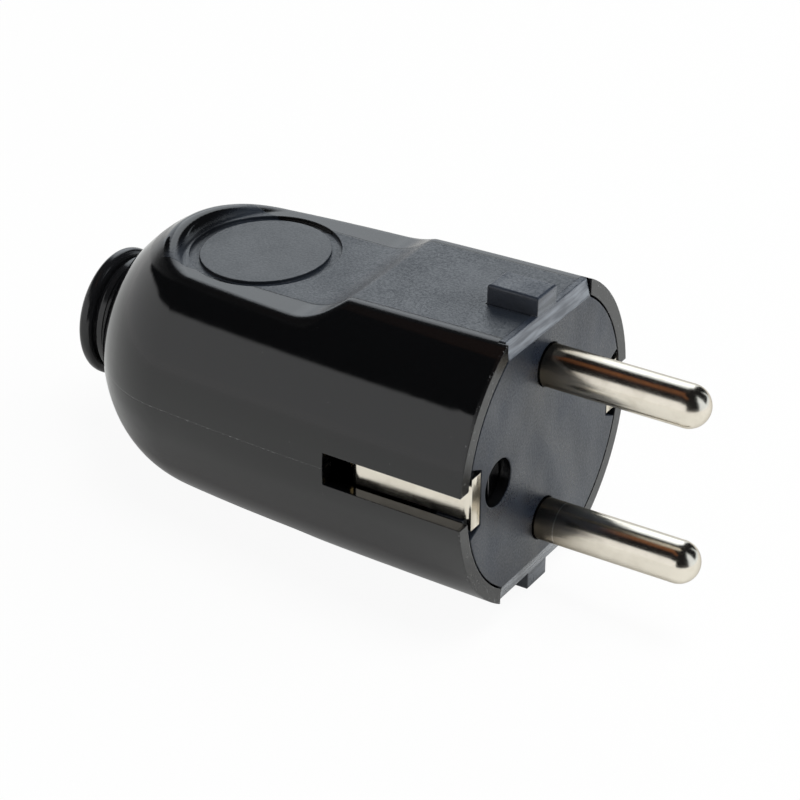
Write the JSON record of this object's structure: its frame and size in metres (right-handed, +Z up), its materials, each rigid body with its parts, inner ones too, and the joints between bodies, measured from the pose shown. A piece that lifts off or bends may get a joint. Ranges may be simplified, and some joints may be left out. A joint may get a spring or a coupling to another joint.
{
  "type": "earthed mains plug",
  "caption": "Rewireable earthed mains plug: glossy domed housing with thumb recesses, matte contact carrier with keys, round plated pins, side earth strips and a rear cable grommet.",
  "frame": {"origin": "on the table, under the middle of the plug's box as it lies at rest", "axes": "+X out along the pins (the pins rise 4.9 degrees from the table at rest), +Z up, in the plane of both pins"},
  "size_m": [0.0772, 0.0362, 0.0363],
  "materials": {
    "gloss_black": "moulded, high gloss",
    "matte_carrier": "moulded, fine matte grain",
    "plated_brass": "nickel plated, polished",
    "bare_brass": "stamped and turned, bare",
    "zinc_steel": "zinc plated",
    "dark_steel": "blackened",
    "inner_plastic": "moulded, plain",
    "gloss_rubber": "smooth, glossy"
  },
  "bodies": {
    "root": {"housing": "gloss_black", "contact_carrier": "matte_carrier", "upper_pin": "plated_brass", "lower_pin": "plated_brass", "pin_terminal_screws": "zinc_steel", "upper_pin_retainer": "inner_plastic", "lower_pin_retainer": "inner_plastic", "retainer_screws": "zinc_steel", "near_earth_strip": "plated_brass", "far_earth_strip": "plated_brass", "earth_bridge": "bare_brass", "earth_rivets": "bare_brass", "earth_terminal_block": "bare_brass", "earth_clamp_washer": "zinc_steel", "earth_terminal_screw": "zinc_steel", "case_screw": "dark_steel", "case_washer": "dark_steel", "case_insert": "bare_brass", "cord_clamp_bar": "inner_plastic", "cord_clamp_screws": "zinc_steel", "cable_grommet": "gloss_rubber"}
  },
  "joints": []
}
